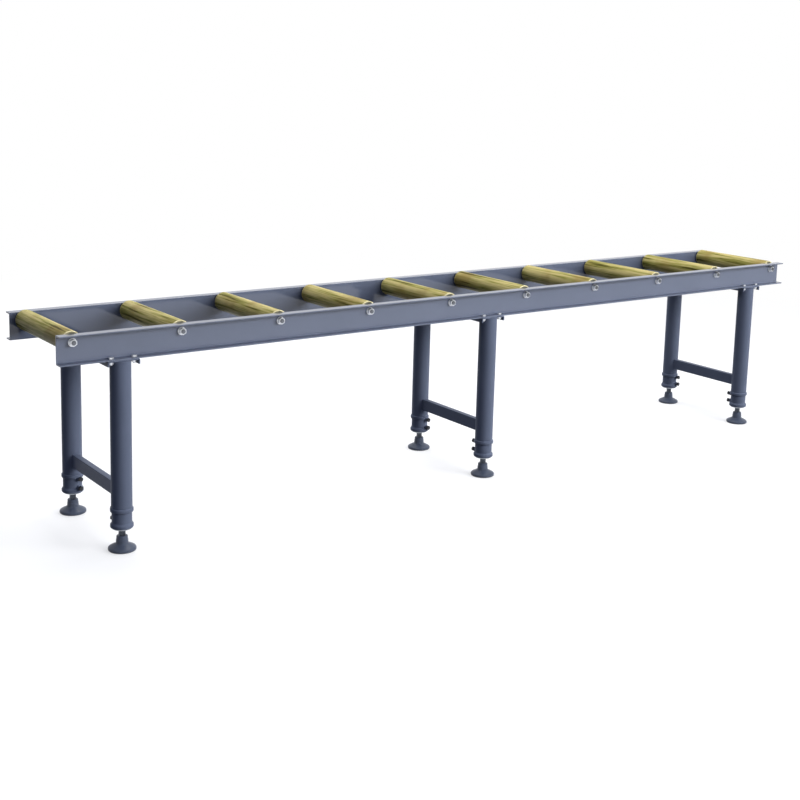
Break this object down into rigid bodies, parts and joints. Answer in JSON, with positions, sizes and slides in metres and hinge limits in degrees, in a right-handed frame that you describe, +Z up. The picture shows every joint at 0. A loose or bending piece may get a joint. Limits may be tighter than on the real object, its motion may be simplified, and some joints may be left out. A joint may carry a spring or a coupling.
{
  "type": "roller table",
  "caption": "Long channel-rail roller table with free-turning steel rollers on telescopic tube legs with levelling feet.",
  "frame": {"origin": "on the floor under the middle of the table, with the legs at their lowest setting", "axes": "+X along the rails, +Y across from the front rail to the rear rail, +Z up"},
  "size_m": [3, 0.446, 0.644],
  "materials": {
    "frame_paint": "glossy blue-grey stoved paint",
    "roller_plating": "yellow chromated zinc on drawn steel tube",
    "bearing_steel": "dulled yellow zinc on pressed steel",
    "axle_steel": "bright drawn steel",
    "bright_zinc": "bright zinc plate",
    "inner_leg_zinc": "dull zinc plate",
    "spindle_steel": "machined bare steel",
    "black_screws": "black oxide",
    "foot_paint": "satin blue-grey paint on a cast foot"
  },
  "bodies": {
    "frame": {"front_rail": "frame_paint", "rear_rail": "frame_paint", "left_saddle": "frame_paint", "middle_saddle": "frame_paint", "right_saddle": "frame_paint", "front_left_leg_tube": "frame_paint", "rear_left_leg_tube": "frame_paint", "front_middle_leg_tube": "frame_paint", "rear_middle_leg_tube": "frame_paint", "front_right_leg_tube": "frame_paint", "rear_right_leg_tube": "frame_paint", "crossbars": "frame_paint", "leg_collars": "frame_paint", "roller_axles": "axle_steel", "axle_nuts": "bright_zinc", "rail_bolts": "bright_zinc"},
    "roller_01": {"roller_01_tube": "roller_plating", "roller_01_housings": "bearing_steel"},
    "roller_02": {"roller_02_tube": "roller_plating", "roller_02_housings": "bearing_steel"},
    "roller_03": {"roller_03_tube": "roller_plating", "roller_03_housings": "bearing_steel"},
    "roller_04": {"roller_04_tube": "roller_plating", "roller_04_housings": "bearing_steel"},
    "roller_05": {"roller_05_tube": "roller_plating", "roller_05_housings": "bearing_steel"},
    "roller_06": {"roller_06_tube": "roller_plating", "roller_06_housings": "bearing_steel"},
    "roller_07": {"roller_07_tube": "roller_plating", "roller_07_housings": "bearing_steel"},
    "roller_08": {"roller_08_tube": "roller_plating", "roller_08_housings": "bearing_steel"},
    "roller_09": {"roller_09_tube": "roller_plating", "roller_09_housings": "bearing_steel"},
    "roller_10": {"roller_10_tube": "roller_plating", "roller_10_housings": "bearing_steel"},
    "front_left_telescope": {"front_left_inner_leg": "inner_leg_zinc"},
    "front_left_leveller": {"front_left_foot": "foot_paint"},
    "front_left_screw": {"front_left_spindle": "spindle_steel"},
    "front_left_clamp": {"front_left_clamp_screws": "black_screws"},
    "rear_left_telescope": {"rear_left_inner_leg": "inner_leg_zinc"},
    "rear_left_leveller": {"rear_left_foot": "foot_paint"},
    "rear_left_screw": {"rear_left_spindle": "spindle_steel"},
    "rear_left_clamp": {"rear_left_clamp_screws": "black_screws"},
    "front_middle_telescope": {"front_middle_inner_leg": "inner_leg_zinc"},
    "front_middle_leveller": {"front_middle_foot": "foot_paint"},
    "front_middle_screw": {"front_middle_spindle": "spindle_steel"},
    "front_middle_clamp": {"front_middle_clamp_screws": "black_screws"},
    "rear_middle_telescope": {"rear_middle_inner_leg": "inner_leg_zinc"},
    "rear_middle_leveller": {"rear_middle_foot": "foot_paint"},
    "rear_middle_screw": {"rear_middle_spindle": "spindle_steel"},
    "rear_middle_clamp": {"rear_middle_clamp_screws": "black_screws"},
    "front_right_telescope": {"front_right_inner_leg": "inner_leg_zinc"},
    "front_right_leveller": {"front_right_foot": "foot_paint"},
    "front_right_screw": {"front_right_spindle": "spindle_steel"},
    "front_right_clamp": {"front_right_clamp_screws": "black_screws"},
    "rear_right_telescope": {"rear_right_inner_leg": "inner_leg_zinc"},
    "rear_right_leveller": {"rear_right_foot": "foot_paint"},
    "rear_right_screw": {"rear_right_spindle": "spindle_steel"},
    "rear_right_clamp": {"rear_right_clamp_screws": "black_screws"}
  },
  "joints": [
    {"name": "roller_01_turn", "type": "hinge", "parent": "frame", "child": "roller_01", "pos_m": [-1.455, 0, 0.614], "axis": [0, 1, 0], "continuous": true},
    {"name": "roller_02_turn", "type": "hinge", "parent": "frame", "child": "roller_02", "pos_m": [-1.13167, 0, 0.614], "axis": [0, 1, 0], "continuous": true},
    {"name": "roller_03_turn", "type": "hinge", "parent": "frame", "child": "roller_03", "pos_m": [-0.80833, 0, 0.614], "axis": [0, 1, 0], "continuous": true},
    {"name": "roller_04_turn", "type": "hinge", "parent": "frame", "child": "roller_04", "pos_m": [-0.485, 0, 0.614], "axis": [0, 1, 0], "continuous": true},
    {"name": "roller_05_turn", "type": "hinge", "parent": "frame", "child": "roller_05", "pos_m": [-0.16167, 0, 0.614], "axis": [0, 1, 0], "continuous": true},
    {"name": "roller_06_turn", "type": "hinge", "parent": "frame", "child": "roller_06", "pos_m": [0.16167, 0, 0.614], "axis": [0, 1, 0], "continuous": true},
    {"name": "roller_07_turn", "type": "hinge", "parent": "frame", "child": "roller_07", "pos_m": [0.485, 0, 0.614], "axis": [0, 1, 0], "continuous": true},
    {"name": "roller_08_turn", "type": "hinge", "parent": "frame", "child": "roller_08", "pos_m": [0.80833, 0, 0.614], "axis": [0, 1, 0], "continuous": true},
    {"name": "roller_09_turn", "type": "hinge", "parent": "frame", "child": "roller_09", "pos_m": [1.13167, 0, 0.614], "axis": [0, 1, 0], "continuous": true},
    {"name": "roller_10_turn", "type": "hinge", "parent": "frame", "child": "roller_10", "pos_m": [1.455, 0, 0.614], "axis": [0, 1, 0], "continuous": true},
    {"name": "front_left_height", "type": "slide", "parent": "frame", "child": "front_left_telescope", "axis": [0, 0, -1], "range_m": [0, 0.3]},
    {"name": "front_left_level", "type": "slide", "parent": "front_left_telescope", "child": "front_left_leveller", "axis": [0, 0, -1], "range_m": [-0.015, 0.03]},
    {"name": "front_left_spindle_turn", "type": "hinge", "parent": "front_left_leveller", "child": "front_left_screw", "pos_m": [-1.317, -0.183, 0.05], "axis": [0, 0, -1], "range_deg": [-2220, 4380]},
    {"name": "front_left_clamp_release", "type": "slide", "parent": "frame", "child": "front_left_clamp", "axis": [-0.2588, 0.9659, 0], "range_m": [0, 0.003]},
    {"name": "rear_left_height", "type": "slide", "parent": "frame", "child": "rear_left_telescope", "axis": [0, 0, -1], "range_m": [0, 0.3]},
    {"name": "rear_left_level", "type": "slide", "parent": "rear_left_telescope", "child": "rear_left_leveller", "axis": [0, 0, -1], "range_m": [-0.015, 0.03]},
    {"name": "rear_left_spindle_turn", "type": "hinge", "parent": "rear_left_leveller", "child": "rear_left_screw", "pos_m": [-1.317, 0.183, 0.05], "axis": [0, 0, -1], "range_deg": [-2220, 4380]},
    {"name": "rear_left_clamp_release", "type": "slide", "parent": "frame", "child": "rear_left_clamp", "axis": [0.2588, -0.9659, 0], "range_m": [0, 0.003]},
    {"name": "front_middle_height", "type": "slide", "parent": "frame", "child": "front_middle_telescope", "axis": [0, 0, -1], "range_m": [0, 0.3]},
    {"name": "front_middle_level", "type": "slide", "parent": "front_middle_telescope", "child": "front_middle_leveller", "axis": [0, 0, -1], "range_m": [-0.015, 0.03]},
    {"name": "front_middle_spindle_turn", "type": "hinge", "parent": "front_middle_leveller", "child": "front_middle_screw", "pos_m": [0, -0.183, 0.05], "axis": [0, 0, -1], "range_deg": [-2220, 4380]},
    {"name": "front_middle_clamp_release", "type": "slide", "parent": "frame", "child": "front_middle_clamp", "axis": [-0.2588, 0.9659, 0], "range_m": [0, 0.003]},
    {"name": "rear_middle_height", "type": "slide", "parent": "frame", "child": "rear_middle_telescope", "axis": [0, 0, -1], "range_m": [0, 0.3]},
    {"name": "rear_middle_level", "type": "slide", "parent": "rear_middle_telescope", "child": "rear_middle_leveller", "axis": [0, 0, -1], "range_m": [-0.015, 0.03]},
    {"name": "rear_middle_spindle_turn", "type": "hinge", "parent": "rear_middle_leveller", "child": "rear_middle_screw", "pos_m": [0, 0.183, 0.05], "axis": [0, 0, -1], "range_deg": [-2220, 4380]},
    {"name": "rear_middle_clamp_release", "type": "slide", "parent": "frame", "child": "rear_middle_clamp", "axis": [0.2588, -0.9659, 0], "range_m": [0, 0.003]},
    {"name": "front_right_height", "type": "slide", "parent": "frame", "child": "front_right_telescope", "axis": [0, 0, -1], "range_m": [0, 0.3]},
    {"name": "front_right_level", "type": "slide", "parent": "front_right_telescope", "child": "front_right_leveller", "axis": [0, 0, -1], "range_m": [-0.015, 0.03]},
    {"name": "front_right_spindle_turn", "type": "hinge", "parent": "front_right_leveller", "child": "front_right_screw", "pos_m": [1.317, -0.183, 0.05], "axis": [0, 0, -1], "range_deg": [-2220, 4380]},
    {"name": "front_right_clamp_release", "type": "slide", "parent": "frame", "child": "front_right_clamp", "axis": [-0.2588, 0.9659, 0], "range_m": [0, 0.003]},
    {"name": "rear_right_height", "type": "slide", "parent": "frame", "child": "rear_right_telescope", "axis": [0, 0, -1], "range_m": [0, 0.3]},
    {"name": "rear_right_level", "type": "slide", "parent": "rear_right_telescope", "child": "rear_right_leveller", "axis": [0, 0, -1], "range_m": [-0.015, 0.03]},
    {"name": "rear_right_spindle_turn", "type": "hinge", "parent": "rear_right_leveller", "child": "rear_right_screw", "pos_m": [1.317, 0.183, 0.05], "axis": [0, 0, -1], "range_deg": [-2220, 4380]},
    {"name": "rear_right_clamp_release", "type": "slide", "parent": "frame", "child": "rear_right_clamp", "axis": [0.2588, -0.9659, 0], "range_m": [0, 0.003]}
  ],
  "couplings": [
    {"joint": "front_left_spindle_turn", "follows": "front_left_level", "rad_per_m": 2513.3},
    {"joint": "rear_left_spindle_turn", "follows": "rear_left_level", "rad_per_m": 2513.3},
    {"joint": "front_middle_spindle_turn", "follows": "front_middle_level", "rad_per_m": 2513.3},
    {"joint": "rear_middle_spindle_turn", "follows": "rear_middle_level", "rad_per_m": 2513.3},
    {"joint": "front_right_spindle_turn", "follows": "front_right_level", "rad_per_m": 2513.3},
    {"joint": "rear_right_spindle_turn", "follows": "rear_right_level", "rad_per_m": 2513.3}
  ]
}
